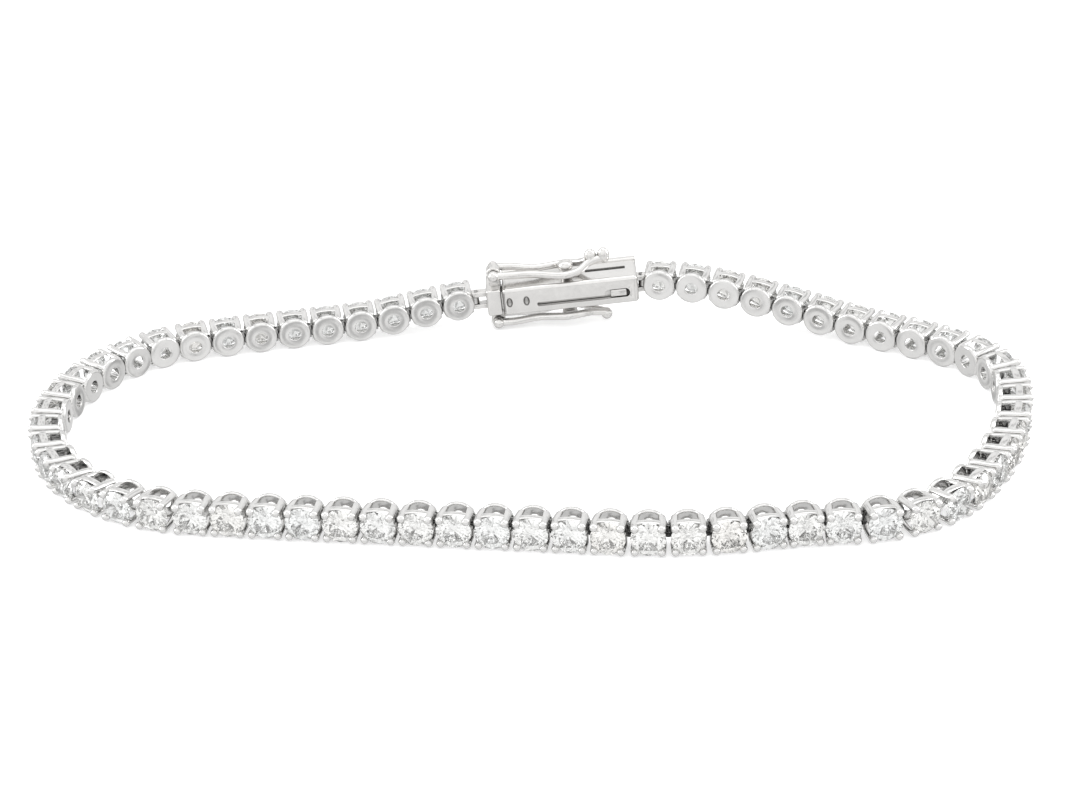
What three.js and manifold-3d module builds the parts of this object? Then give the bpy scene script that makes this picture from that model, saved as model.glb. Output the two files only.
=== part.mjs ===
// A tennis bracelet: 62 four-prong basket links, each with a round brilliant, in one loop that stands on
// its edge, closed by a box clasp with a figure-8 safety catch on each side.
// Units are millimetres, +Z is up, +Y is away from the front row, and the floor is z = 0.

import * as THREE from 'three';
import { mergeVertices } from 'three/addons/utils/BufferGeometryUtils.js';
import Module from 'manifold-3d';

// ---- driving dimensions ----

const PITCH = 2.65; // from one hinge pin to the next
// Links joined in each run of the strand. Runs meet where the loop is nearly straight, and so stay clear.
const RUN_LINKS = [8, 16, 9, 12, 9, 8];

// The loop, from the clasp's tongue end round the left, the front and the right to its box end. Each row
// holds for that many links: the bend at each one's first hinge in degrees, and its climb in mm.
const ROUTE = [
  { links: 1, bend: 0, climb: -0.25 },
  { links: 2, bend: 0.5, climb: -0.375 },
  { links: 1, bend: 0.5, climb: -0.1 },
  { links: 3, bend: 0.5, climb: 0 },
  { links: 2, bend: 2.5, climb: 0 },
  { links: 2, bend: 14, climb: 0 },
  { links: 12, bend: 10.5, climb: 0 },
  { links: 2, bend: 0.5, climb: 0 },
  { links: 9, bend: 0, climb: 0 },
  { links: 4, bend: 4.5, climb: 0 },
  { links: 2, bend: -4.5, climb: 0 },
  { links: 1, bend: 10.5, climb: 0 },
  { links: 3, bend: 14.6, climb: 0 },
  { links: 5, bend: 5.5, climb: 0 },
  { links: 1, bend: 9.5, climb: 0 },
  { links: 3, bend: 16.9, climb: 0 },
  { links: 2, bend: 3.2, climb: 0 },
  { links: 1, bend: 3.2, climb: 0.2 },
  { links: 4, bend: 3.2, climb: 0.42 },
  { links: 1, bend: 3.2, climb: 0.25 },
  { links: 1, bend: 3.2, climb: -0.03 },
];
const FIRST_HEADING = 187.5; // degrees from +X towards +Y
const TONGUE_LIFT = 1.1; // the clasp's tongue end rests this much higher than the front row

// A link is seen in its own frame: X back along the strand, Y along the stone's axis and out of the loop,
// Z up, with the line between its hinge pins on X.
const RING = { radius: 1.26, back: -0.875, front: -0.445 };
const PRONG = { width: 0.3, rootX: 0.78, rootZ: 0.71, tipX: 1.04, tipZ: 0.96, rootY: -0.66, tipY: 1.8 };
const LUG = { length: 0.7, back: -0.62, front: 0.12, height: 0.66 };
const STONE = { radius: 1.25, table: 0.7, culetY: 0.29, girdleY: 1.3, tableY: 1.66 };
const THREAD = 0.16; // side of the square bar that joins the stones of a run
const FACETS = 8; // sides of rings and stones
const ROUND_SIDES = 10; // sides of pins, knuckles and pegs
const BORE_CUT = 1; // a bore's cutter reaches this far past the middle on both sides

// The clasp has its own frame: X from its tongue-end hinge pin to its box-end one, Y out of the loop.
const BOX = { left: 2.3, right: 13.1, inner: -1.35, outer: 2.45, halfHeight: 1.15, wall: 0.35, edge: 0.2 };
const COVER = { inner: 1.95, outer: 2.5, halfHeight: 1.32 };
const SLIT = { left: 9.0, right: 12.2, inner: 0.45, outer: 0.95 };
const SLOT = { left: 5.0, right: 10.7, bottom: -0.57, top: -0.22 };
const WINDOW = { left: 10.4, right: 12.4, bottom: -0.54, top: 0.2 };
const HALLMARKS = { first: 2.55, spacing: 1.35, width: 0.55, height: 0.8, depth: 0.12 };
const PLATE = { left: 1.15, right: 2.15, inner: -1.2, outer: 2.2, halfHeight: 1.1, edge: 0.15 };
const TONGUE = { inner: -0.7, outer: 1.8, leaf: 0.35, gap: 0.5, right: 12.2 };
const CLEARANCE = 0.12; // between the tongue's leaves and the box's walls
const OVERLAP = 0.2; // how deep a soldered piece reaches into the one that holds it

const PIN_RADIUS = 0.16;
const PIN_BORE = 0.23;
const EYE = { radius: 0.38, halfHeight: 0.26, back: -0.62, root: 0.98 };
const FORK = { gap: 0.05, thickness: 0.26 };
const PIN_INSET = 0.02; // the pin's ends lie this far inside the fork's ears

const CATCH_Y = 0.2; // the catches' centre line
const WIRE_RADIUS = 0.25;
const KNUCKLE = { x: 1.75, radius: 0.5, bore: 0.32, halfLength: 0.55, foot: 0.8, footHalf: 0.4 };
const KNOB = { sides: 8, alongX: 0.38, across: 0.42, alongZ: 0.55 }; // a rounded knob that a fingernail lifts
const HINGE_BAR = { radius: 0.27, past: 0.2 }; // a catch's bar, which ends this far past its strands
const PEG = {
  x: 7.5, neck: 0.6, head: 0.85, crown: 0.61, neckTop: 0.45, rim: 0.65, edge: 0.97, headTop: 1.05,
};

// Each catch is one bent wire, the same on both sides of its centre line. Its rows run from the knuckle to
// the tip: how far along the clasp, how far each strand is from the centre line, and how far the strand
// is from the clasp's own middle plane.
const CATCHES = [
  {
    name: 'upper_safety_catch', side: 1, knuckle: 2.15,
    knobs: [{ x: 9.55, lift: 2.7 }, { x: 10.6, lift: 2.73 }],
    rows: [
      { x: 1.75, half: 0.92, lift: 2.15 },
      { x: 3.2, half: 0.88, lift: 2.05 },
      { x: 4.9, half: 0.64, lift: 1.85 },
      { x: 6.1, half: 0.92, lift: 1.75 },
      { x: 7.4, half: 1.22, lift: 1.72 },
      { x: 8.5, half: 0.95, lift: 1.8 },
      { x: 9.3, half: 0.45, lift: 2.15 },
      { x: 9.9, half: 0.2, lift: 2.32 },
      { x: 10.5, half: 0.08, lift: 2.38 },
    ],
  },
  {
    name: 'lower_safety_catch', side: -1, knuckle: 1.9, knobs: [{ x: 10.4, lift: 2.5 }],
    rows: [
      { x: 1.75, half: 0.92, lift: 1.9 },
      { x: 3.2, half: 0.88, lift: 1.95 },
      { x: 4.9, half: 0.64, lift: 1.92 },
      { x: 6.1, half: 0.92, lift: 1.88 },
      { x: 7.4, half: 1.22, lift: 1.85 },
      { x: 8.5, half: 0.95, lift: 1.92 },
      { x: 9.3, half: 0.45, lift: 2.1 },
      { x: 9.9, half: 0.2, lift: 2.25 },
      { x: 10.4, half: 0.08, lift: 2.35 },
    ],
  },
];
const STRAND_STEPS = 14;
const STRAND_SIDES = 3; // in each half of the wire's outline

// ---- finishes ----

const whiteGold = { color: 0xe4e4e2, roughness: 0.16, metalness: 1 };
const brightGold = { color: 0xdedddb, roughness: 0.12, metalness: 1 };
const diamond = { color: 0xf4f6f8, roughness: 0.03, metalness: 0 };

// ---- solids ----

const wasm = await Module();
wasm.setup();

// A closed geometry becomes a solid once its shared corners are merged.
function solid(geometry) {
  const bare = geometry.clone();
  bare.deleteAttribute('normal');
  bare.deleteAttribute('uv');
  const merged = mergeVertices(bare, 1e-5);
  return new wasm.Manifold(new wasm.Mesh({
    numProp: 3,
    vertProperties: new Float32Array(merged.attributes.position.array),
    triVerts: new Uint32Array(merged.index.array),
  }));
}

function geometryOf(manifold) {
  const { vertProperties, triVerts } = manifold.getMesh();
  const geometry = new THREE.BufferGeometry();
  geometry.setAttribute('position', new THREE.BufferAttribute(vertProperties, 3));
  geometry.setIndex(new THREE.BufferAttribute(triVerts, 1));
  geometry.computeVertexNormals();
  return geometry;
}

const joined = (geometries) => geometries.map(solid).reduce((whole, piece) => whole.add(piece));

function cut(whole, geometries) {
  return geometries.reduce((left, tool) => left.subtract(solid(tool)), whole);
}

// A block between two opposite corners.
function block([x0, y0, z0], [x1, y1, z1]) {
  const geometry = new THREE.BoxGeometry(x1 - x0, y1 - y0, z1 - z0);
  return geometry.translate((x0 + x1) / 2, (y0 + y1) / 2, (z0 + z1) / 2);
}

// A round bar along one axis between two of its coordinates.
function bar(axis, radius, from, to, centre, sides = ROUND_SIDES) {
  const geometry = new THREE.CylinderGeometry(radius, radius, to - from, sides);
  geometry.rotateY(Math.PI / sides);
  if (axis === 'x') geometry.rotateZ(-Math.PI / 2);
  if (axis === 'z') geometry.rotateX(Math.PI / 2);
  const middle = new THREE.Vector3(...centre);
  middle[axis] = (from + to) / 2;
  return geometry.translate(middle.x, middle.y, middle.z);
}

function lathe(points, sides = FACETS) {
  const geometry = new THREE.LatheGeometry(points.map(([r, y]) => new THREE.Vector2(r, y)), sides);
  return geometry.rotateY(Math.PI / sides);
}

// ---- the route ----

// Places of the 63 hinge pins and, between each two, the frame of one link.
function routeFrames() {
  const hinges = [new THREE.Vector3(0, 0, RING.radius + TONGUE_LIFT)];
  const links = [];
  let heading = FIRST_HEADING;
  for (const row of ROUTE) {
    for (let count = 0; count < row.links; count += 1) {
      heading += row.bend;
      const angle = THREE.MathUtils.degToRad(heading);
      const flat = Math.sqrt(PITCH ** 2 - row.climb ** 2);
      const step = new THREE.Vector3(flat * Math.cos(angle), flat * Math.sin(angle), row.climb);
      const from = hinges.at(-1);
      const to = from.clone().add(step);
      links.push(frameBetween(to, from));
      hinges.push(to);
    }
  }
  return { hinges, links };
}

// The frame with X from one point towards another, Y level and to the left of X, and its origin halfway
// between them or at a given place. Where X runs clockwise round the loop, Y points out of it.
function frameBetween(from, to, place = from.clone().lerp(to, 0.5)) {
  const x = to.clone().sub(from).normalize();
  const y = new THREE.Vector3(0, 0, 1).cross(x).normalize();
  const z = new THREE.Vector3().crossVectors(x, y);
  return new THREE.Matrix4().makeBasis(x, y, z).setPosition(place);
}

// ---- the strand ----

function ringPlate() {
  const corner = RING.radius / Math.cos(Math.PI / FACETS);
  return bar('y', corner, RING.back, RING.front, [0, 0, 0], FACETS);
}

// A square prong wire that leans a little outwards from the ring to its tip.
function prong(signX, signZ) {
  const geometry = new THREE.BoxGeometry(PRONG.width, PRONG.tipY - PRONG.rootY, PRONG.width);
  geometry.rotateY(signX * signZ * Math.atan2(PRONG.rootZ, PRONG.rootX));
  geometry.translate(0, (PRONG.tipY + PRONG.rootY) / 2, 0);
  const position = geometry.attributes.position;
  for (let i = 0; i < position.count; i += 1) {
    const t = (position.getY(i) - PRONG.rootY) / (PRONG.tipY - PRONG.rootY);
    const x = THREE.MathUtils.lerp(PRONG.rootX, PRONG.tipX, t);
    const z = THREE.MathUtils.lerp(PRONG.rootZ, PRONG.tipZ, t);
    position.setX(i, position.getX(i) + signX * x);
    position.setZ(i, position.getZ(i) + signZ * z);
  }
  return geometry;
}

const setting = () => [ringPlate(), prong(1, 1), prong(1, -1), prong(-1, 1), prong(-1, -1)];

function lug() {
  const { length, back, front, height } = LUG;
  return block([-length / 2, back, -height / 2], [length / 2, front, height / 2]);
}

function stone() {
  const { radius, table, culetY, girdleY, tableY } = STONE;
  return lathe([[0, culetY], [radius, girdleY], [table, tableY], [0, tableY]]);
}

// The bar between two stones at girdle height.
function thread(frameA, frameB) {
  const edge = STONE.radius - 3 * THREAD;
  const a = new THREE.Vector3(-edge, STONE.girdleY, 0).applyMatrix4(frameA);
  const b = new THREE.Vector3(edge, STONE.girdleY, 0).applyMatrix4(frameB);
  const geometry = new THREE.BoxGeometry(a.distanceTo(b), THREAD, THREAD);
  return geometry.applyMatrix4(frameBetween(b, a));
}

const moved = (geometries, matrix) => geometries.map((geometry) => geometry.applyMatrix4(matrix));

// The links of one run: the settings as one solid, and the stones as another.
function run(route, first, count) {
  const metal = [];
  const stones = [];
  for (let i = first; i < first + count; i += 1) {
    metal.push(...moved(setting(), route.links[i]));
    stones.push(...moved([stone()], route.links[i]));
    if (i > first) {
      metal.push(...moved([lug()], hingeFrame(route, i)));
      stones.push(thread(route.links[i - 1], route.links[i]));
    }
  }
  return { metal, stones };
}

// The frame of the hinge before link i, which halves the bend there.
function hingeFrame(route, i) {
  const before = route.hinges[i - 1] ?? route.hinges[i];
  const after = route.hinges[i + 1] ?? route.hinges[i];
  return frameBetween(after, before, route.hinges[i]);
}

const pinBore = (pinX) => bar('z', PIN_BORE, -BORE_CUT, BORE_CUT, [pinX, 0, 0]);

// The eye of an end link: a round knuckle on a neck from the ring.
function endEye(sign) {
  const { radius, halfHeight, back, root } = EYE;
  const reach = sign * PITCH / 2;
  const [x0, x1] = [reach, sign * root].sort((a, b) => a - b);
  return {
    add: [
      block([x0, back, -halfHeight], [x1, 0, halfHeight]),
      bar('z', radius, -halfHeight, halfHeight, [reach, 0, 0]),
    ],
    remove: pinBore(reach),
  };
}

// ---- the clasp ----

// A bar along X whose section is a rectangle with rounded corners.
function roundedBar({ left, right, inner, outer, halfHeight, edge }) {
  const shape = new THREE.Shape();
  shape.moveTo(inner + edge, -halfHeight);
  shape.lineTo(outer - edge, -halfHeight);
  shape.absarc(outer - edge, -halfHeight + edge, edge, -Math.PI / 2, 0);
  shape.absarc(outer - edge, halfHeight - edge, edge, 0, Math.PI / 2);
  shape.absarc(inner + edge, halfHeight - edge, edge, Math.PI / 2, Math.PI);
  shape.absarc(inner + edge, -halfHeight + edge, edge, Math.PI, Math.PI * 1.5);
  const geometry = new THREE.ExtrudeGeometry(shape, {
    depth: right - left, bevelEnabled: false, curveSegments: 3, steps: 1,
  });
  const basis = new THREE.Matrix4().makeBasis(
    new THREE.Vector3(0, 1, 0), new THREE.Vector3(0, 0, 1), new THREE.Vector3(1, 0, 0),
  );
  return geometry.applyMatrix4(basis).translate(left, 0, 0);
}

// A fork around a hinge pin: two ears above and below the end link's eye, on an arm to x = root.
function fork(pinX, root) {
  const low = EYE.halfHeight + FORK.gap;
  const high = low + FORK.thickness;
  const [x0, x1] = [pinX, root].sort((a, b) => a - b);
  return [[low, high], [-high, -low]].flatMap(([z0, z1]) => [
    block([x0, -EYE.radius, z0], [x1, EYE.radius, z1]),
    bar('z', EYE.radius, z0, z1, [pinX, 0, 0]),
  ]);
}

function claspBox(span) {
  const { left, right, inner, outer, halfHeight, wall } = BOX;
  const cover = { ...BOX, inner: COVER.inner, outer: COVER.outer, halfHeight: COVER.halfHeight };
  const pegs = [1, -1].map((side) => peg(side));
  const body = joined([roundedBar(BOX), roundedBar(cover), ...pegs, ...fork(span, right - wall)]);
  const marks = [0, 1].map((index) => {
    const x = HALLMARKS.first + index * HALLMARKS.spacing;
    return block(
      [x, inner - BORE_CUT, -HALLMARKS.height / 2],
      [x + HALLMARKS.width, inner + HALLMARKS.depth, HALLMARKS.height / 2],
    );
  });
  return cut(body, [
    block([left - wall, inner + wall, wall - halfHeight], [right - wall, outer - wall, halfHeight - wall]),
    block([SLIT.left, SLIT.inner, 0], [SLIT.right, SLIT.outer, 2 * halfHeight]),
    block([SLOT.left, inner - wall, SLOT.bottom], [SLOT.right, inner + 2 * wall, SLOT.top]),
    block([WINDOW.left, inner - wall, WINDOW.bottom], [WINDOW.right, inner + 2 * wall, WINDOW.top]),
    ...marks,
    pinBore(span),
  ]);
}

// A headed peg that stands on the box's side.
function peg(side) {
  const { neck, head, crown, neckTop, rim, edge, headTop } = PEG;
  const base = -BOX.wall / 2;
  const outline = [[0, base], [neck, base], [neck, neckTop], [head, rim], [crown, edge], [0, headTop]];
  const geometry = lathe(outline.map(([r, y]) => [r, BOX.halfHeight + y]), ROUND_SIDES);
  geometry.rotateX(side * Math.PI / 2);
  return geometry.translate(PEG.x, CATCH_Y, 0);
}

function claspTongue() {
  const { left, right } = PLATE;
  const leafHalf = BOX.halfHeight - BOX.wall - CLEARANCE;
  const { leaf, gap } = TONGUE;
  const middle = (TONGUE.inner + TONGUE.outer) / 2;
  const plate = roundedBar(PLATE);
  const leaves = [middle - gap / 2 - leaf, middle + gap / 2].map((face) => (
    block([right - OVERLAP, face, -leafHalf], [TONGUE.right, face + leaf, leafHalf])
  ));
  const fold = block(
    [TONGUE.right - leaf, middle - gap, -leafHalf], [TONGUE.right, middle + gap, leafHalf],
  );
  const [near, far] = [CATCH_Y - KNUCKLE.halfLength, CATCH_Y + KNUCKLE.halfLength];
  const knuckles = CATCHES.flatMap(({ side, knuckle }) => {
    const [low, high] = [side * KNUCKLE.foot, side * knuckle].sort((a, b) => a - b);
    return [
      bar('y', KNUCKLE.radius, near, far, [KNUCKLE.x, 0, side * knuckle]),
      block([KNUCKLE.x - KNUCKLE.footHalf, near, low], [KNUCKLE.x + KNUCKLE.footHalf, far, high]),
    ];
  });
  const bores = CATCHES.map(({ side, knuckle }) => (
    bar('y', KNUCKLE.bore, CATCH_Y - BORE_CUT, CATCH_Y + BORE_CUT, [KNUCKLE.x, 0, side * knuckle])
  ));
  const whole = joined([plate, ...leaves, fold, ...knuckles, ...fork(0, left + OVERLAP)]);
  return cut(whole, [...bores, pinBore(0)]);
}

// A strand of a catch's wire on one side of its centre line.
function strand({ rows, side }, across) {
  const curve = new THREE.CatmullRomCurve3(rows.map(({ x, half, lift }) => (
    new THREE.Vector3(x, CATCH_Y + across * half, side * lift)
  )));
  const section = new THREE.Shape();
  section.absarc(0, 0, WIRE_RADIUS, 0, 2 * Math.PI);
  return new THREE.ExtrudeGeometry(section, {
    extrudePath: curve, steps: STRAND_STEPS, curveSegments: STRAND_SIDES,
  });
}

function safetyCatch(spec) {
  const { rows, side, knobs } = spec;
  const { x, half, lift } = rows[0];
  const reach = half + HINGE_BAR.past;
  const hingeBar = bar('y', HINGE_BAR.radius, CATCH_Y - reach, CATCH_Y + reach, [x, 0, side * lift]);
  const rounds = knobs.map((place) => {
    const round = new THREE.SphereGeometry(1, KNOB.sides, KNOB.sides / 2).rotateX(Math.PI / 2);
    return round.scale(KNOB.alongX, KNOB.across, KNOB.alongZ).translate(place.x, CATCH_Y, side * place.lift);
  });
  return joined([hingeBar, strand(spec, 1), strand(spec, -1), ...rounds]);
}

function hingePin(x) {
  const half = EYE.halfHeight + FORK.gap + FORK.thickness - PIN_INSET;
  return bar('z', PIN_RADIUS, -half, half, [x, 0, 0]);
}

// ---- the bracelet ----

function namedMesh(name, geometry, finish) {
  const mesh = new THREE.Mesh(geometry, new THREE.MeshStandardMaterial(finish));
  mesh.name = name;
  return mesh;
}

function makeBracelet() {
  const bracelet = new THREE.Group();
  const route = routeFrames();
  const last = route.links.length - 1;

  let first = 0;
  RUN_LINKS.forEach((count, index) => {
    const { metal, stones } = run(route, first, count);
    const bores = [];
    for (const [link, sign] of [[0, 1], [last, -1]]) {
      if (link < first || link >= first + count) continue;
      const eye = endEye(sign);
      metal.push(...moved(eye.add, route.links[link]));
      bores.push(...moved([eye.remove], route.links[link]));
    }
    const settings = cut(joined(metal), bores);
    bracelet.add(namedMesh(`settings_${index + 1}`, geometryOf(settings), whiteGold));
    bracelet.add(namedMesh(`stones_${index + 1}`, geometryOf(joined(stones)), diamond));
    first += count;
  });

  const clasp = new THREE.Group();
  const [start, end] = [route.hinges[0], route.hinges.at(-1)];
  const span = start.distanceTo(end);
  clasp.applyMatrix4(frameBetween(start, end, start));
  clasp.add(namedMesh('clasp_box', geometryOf(claspBox(span)), brightGold));
  clasp.add(namedMesh('clasp_tongue', geometryOf(claspTongue()), brightGold));
  clasp.add(namedMesh('tongue_hinge_pin', hingePin(0), brightGold));
  clasp.add(namedMesh('box_hinge_pin', hingePin(span), brightGold));
  for (const spec of CATCHES) {
    clasp.add(namedMesh(spec.name, geometryOf(safetyCatch(spec)), brightGold));
  }
  bracelet.add(clasp);

  // The origin is the middle of the outline, on the floor.
  const box = new THREE.Box3().setFromObject(bracelet, true);
  const centre = box.getCenter(new THREE.Vector3());
  bracelet.position.set(-centre.x, -centre.y, -box.min.z);
  return bracelet;
}

export default makeBracelet();
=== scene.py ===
"""The looks of a diamond tennis bracelet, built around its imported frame.

Sixty-two four-prong links, each with a round brilliant, stand on their edge in one loop. A box clasp with a
figure-8 safety catch on each side closes it. The file is laid out as a Blender add-on, and run as a script.
"""

import math
import random

import bmesh
import bpy
from bpy.props import FloatProperty, FloatVectorProperty, PointerProperty
from bpy.types import Operator, Panel, PropertyGroup
from mathutils import Matrix, Vector


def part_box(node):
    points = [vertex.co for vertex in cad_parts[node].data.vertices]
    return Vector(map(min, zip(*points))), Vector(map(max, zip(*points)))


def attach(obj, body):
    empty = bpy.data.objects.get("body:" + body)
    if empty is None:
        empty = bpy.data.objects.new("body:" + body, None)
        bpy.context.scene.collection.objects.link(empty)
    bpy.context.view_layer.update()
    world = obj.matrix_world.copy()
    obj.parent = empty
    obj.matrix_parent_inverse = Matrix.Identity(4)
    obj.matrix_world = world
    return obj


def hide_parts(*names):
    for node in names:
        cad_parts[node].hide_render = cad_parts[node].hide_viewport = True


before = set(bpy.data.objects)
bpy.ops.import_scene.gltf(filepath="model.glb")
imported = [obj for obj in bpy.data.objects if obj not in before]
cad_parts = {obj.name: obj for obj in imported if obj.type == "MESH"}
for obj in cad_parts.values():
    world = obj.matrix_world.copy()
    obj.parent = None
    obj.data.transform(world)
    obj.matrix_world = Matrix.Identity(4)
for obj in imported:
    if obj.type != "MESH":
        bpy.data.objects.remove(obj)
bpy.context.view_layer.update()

bl_info = {
    "name": "Tennis bracelet",
    "version": (1, 0, 0),
    "blender": (4, 5, 0),
    "location": "View3D > Sidebar > Bracelet",
    "description": "Builds a line bracelet of four-prong links and its box clasp",
    "category": "Add Mesh",
}

# ---- the strand's route, in metres and degrees ----

MM = 0.001
PITCH = 2.65 * MM
RUN_LINKS = (8, 16, 9, 12, 9, 8)
FIRST_HEADING = 187.5

# From the clasp's tongue end round the loop to its box end. A row is a number of links, the bend at the first
# hinge of each, and how far each climbs.
ROUTE = (
    (1, 0.0, -0.25 * MM),
    (2, 0.5, -0.375 * MM),
    (1, 0.5, -0.1 * MM),
    (3, 0.5, 0.0),
    (2, 2.5, 0.0),
    (2, 14.0, 0.0),
    (12, 10.5, 0.0),
    (2, 0.5, 0.0),
    (9, 0.0, 0.0),
    (4, 4.5, 0.0),
    (2, -4.5, 0.0),
    (1, 10.5, 0.0),
    (3, 14.6, 0.0),
    (5, 5.5, 0.0),
    (1, 9.5, 0.0),
    (3, 16.9, 0.0),
    (2, 3.2, 0.0),
    (1, 3.2, 0.2 * MM),
    (4, 3.2, 0.42 * MM),
    (1, 3.2, 0.25 * MM),
    (1, 3.2, -0.03 * MM),
)
ROUTE_SLACK = 0.02 * MM  # the route has to end this near to the frame's own hinge pin

# ---- the clasp, in its own frame: X from its tongue-end pin to its box-end one, Y out of the loop ----

BOX = {"left": 2.3 * MM, "right": 13.1 * MM, "inner": -1.35 * MM, "outer": 2.4 * MM, "half": 1.15 * MM}
BOX_EDGE = 0.32 * MM
BOX_WALL = 0.35 * MM
CAVITY_EDGE = 0.08 * MM
CUT_EDGE = 0.035 * MM  # how far the edges of the box's cuts are broken
COVER = {"inner": 1.93 * MM, "outer": 2.5 * MM, "half": 1.3 * MM, "edge": 0.16 * MM}
SLIT = {
    "left": 9.0 * MM, "right": 12.2 * MM, "inner": 0.4 * MM, "outer": 0.92 * MM,
    "depth": 0.27 * MM, "edge": 0.04 * MM,
}
SLOT = {"left": 5.0 * MM, "right": 10.7 * MM, "bottom": -0.57 * MM, "top": -0.22 * MM, "corner": 0.16 * MM}
WINDOW = {"left": 10.4 * MM, "right": 12.4 * MM, "bottom": -0.54 * MM, "top": 0.2 * MM, "corner": 0.34 * MM}
HALLMARKS = {
    "count": 2, "first": 2.825 * MM, "spacing": 1.35 * MM,
    "width": 0.5 * MM, "height": 0.8 * MM, "depth": 0.28 * MM,
}
PLATE = {
    "left": 1.02 * MM, "right": 2.2 * MM, "inner": -1.2 * MM, "outer": 2.2 * MM, "half": 1.1 * MM,
    "edge": 0.18 * MM, "sunk": 0.2 * MM,
}
TONGUE = {
    "middle": 0.0 * MM, "gap": 1.2 * MM, "leaf": 0.33 * MM, "right": 12.15 * MM, "half": 0.66 * MM,
    "edge": 0.05 * MM, "fold_edge": 0.15 * MM,
}
TAB = {
    "left": 10.85 * MM, "right": 12.15 * MM, "face": -1.3 * MM, "bottom": -0.47 * MM, "top": 0.13 * MM,
    "edge": 0.1 * MM,
}
KNUCKLE = {
    "x": 1.75 * MM, "radius": 0.56 * MM, "bore": 0.31 * MM, "half": 0.55 * MM, "edge": 0.08 * MM,
    "foot": 0.8 * MM, "foot_half": 0.38 * MM, "foot_edge": 0.07 * MM,
}
PEG = {
    "x": 7.5 * MM, "neck": 0.46 * MM, "waist": 0.92, "head": 0.62 * MM, "under": 0.45 * MM, "top": 1.3 * MM,
}
FORK = {"low": 0.31 * MM, "high": 0.7 * MM, "radius": 0.42 * MM, "edge": 0.05 * MM}
PIN = {"radius": 0.16 * MM, "half": 0.55 * MM, "edge": 0.06 * MM}
CATCH_MIDDLE = 0.2 * MM

# A catch is one bent wire, alike on both sides of its centre line. A row says how far along the clasp it is,
# how far each strand is from the centre line, and how far from the clasp's own middle plane.
UPPER_CATCH = (
    {"x": 1.75 * MM, "half": 0.92 * MM, "lift": 2.15 * MM},
    {"x": 3.2 * MM, "half": 0.88 * MM, "lift": 2.05 * MM},
    {"x": 4.9 * MM, "half": 0.64 * MM, "lift": 1.85 * MM},
    {"x": 6.1 * MM, "half": 0.92 * MM, "lift": 1.75 * MM},
    {"x": 7.4 * MM, "half": 1.22 * MM, "lift": 1.72 * MM},
    {"x": 8.5 * MM, "half": 0.86 * MM, "lift": 1.8 * MM},
    {"x": 9.2 * MM, "half": 0.4 * MM, "lift": 2.12 * MM},
    {"x": 9.8 * MM, "half": 0.22 * MM, "lift": 2.32 * MM},
    {"x": 10.5 * MM, "half": 0.08 * MM, "lift": 2.38 * MM},
)
LOWER_CATCH = (
    {"x": 1.75 * MM, "half": 0.92 * MM, "lift": 1.9 * MM},
    {"x": 3.2 * MM, "half": 0.88 * MM, "lift": 1.95 * MM},
    {"x": 4.9 * MM, "half": 0.64 * MM, "lift": 1.92 * MM},
    {"x": 6.1 * MM, "half": 0.92 * MM, "lift": 1.88 * MM},
    {"x": 7.4 * MM, "half": 1.22 * MM, "lift": 1.85 * MM},
    {"x": 8.5 * MM, "half": 0.86 * MM, "lift": 1.92 * MM},
    {"x": 9.2 * MM, "half": 0.4 * MM, "lift": 2.08 * MM},
    {"x": 9.8 * MM, "half": 0.22 * MM, "lift": 2.22 * MM},
    {"x": 10.4 * MM, "half": 0.08 * MM, "lift": 2.35 * MM},
)

HEAD_REACH = 0.08 * MM  # from a strand's middle to the rounded end of the catch's bar

# The rounded knobs at a catch's tip, which a fingernail lifts.
UPPER_KNOBS = (
    {"x": 9.55 * MM, "lift": 2.58 * MM, "radii": (0.5 * MM, 0.46 * MM, 0.66 * MM)},
    {"x": 10.6 * MM, "lift": 2.6 * MM, "radii": (0.5 * MM, 0.46 * MM, 0.65 * MM)},
)
LOWER_KNOBS = ({"x": 10.4 * MM, "lift": 2.5 * MM, "radii": (0.46 * MM, 0.46 * MM, 0.48 * MM)},)

SIDES = (1, -1)
SHARP_ANGLE = math.radians(38)
BROKEN_ANGLE = math.radians(60)  # sharper edges than this are broken when a shape is cut
RIM_EDGE = 0.05 * MM
STONE_SEED = 7


# ---- sizes and colours that a user would change ----


def length(name, description, value):
    return FloatProperty(name=name, description=description, default=value, unit="LENGTH", precision=6)


def colour(name, description, value):
    return FloatVectorProperty(
        name=name, description=description, default=value, subtype="COLOR", size=3, min=0, max=1
    )


def share(name, description, value):
    return FloatProperty(name=name, description=description, default=value, min=0, max=1, subtype="FACTOR")


class BraceletSettingSizes(PropertyGroup):
    ring_radius: length("Ring radius", "Outside of a link's back ring", 1.26 * MM)
    ring_hole: length("Ring hole", "Radius of the hole in a back ring", 0.48 * MM)
    ring_back: length("Ring back", "The ring's wrist face, from the hinge line", -0.87 * MM)
    ring_front: length("Ring front", "The ring's front rim, from the hinge line", -0.47 * MM)
    ring_edge: length("Ring edge", "Rounding of the ring's outer edge on its wrist side", 0.17 * MM)
    ring_lip: length("Ring lip", "Rounding of the edge of the ring's hole", 0.05 * MM)
    ring_rim: length("Ring rim", "Width of the ring's round front rim", 0.2 * MM)
    ring_wall: length("Ring wall", "Thickness of the ring at its hole", 0.11 * MM)
    rail_lift: length("Rail height", "From the link's middle to the middle of a gallery rail", 1.12 * MM)
    rail_bow: length("Rail bow", "How much lower a rail's ends are than its middle", 0.12 * MM)
    rail_thickness: length("Rail thickness", "Thickness of a gallery rail", 0.14 * MM)
    rail_back: length("Rail back", "The rail's edge nearer the wrist", 0.46 * MM)
    rail_front: length("Rail front", "The rail's edge nearer the stone", 1.0 * MM)
    prong_width: length("Prong width", "Half the width of a prong's strip", 0.27 * MM)
    prong_thickness: length("Prong thickness", "Half the thickness of a prong's strip", 0.15 * MM)


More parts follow.
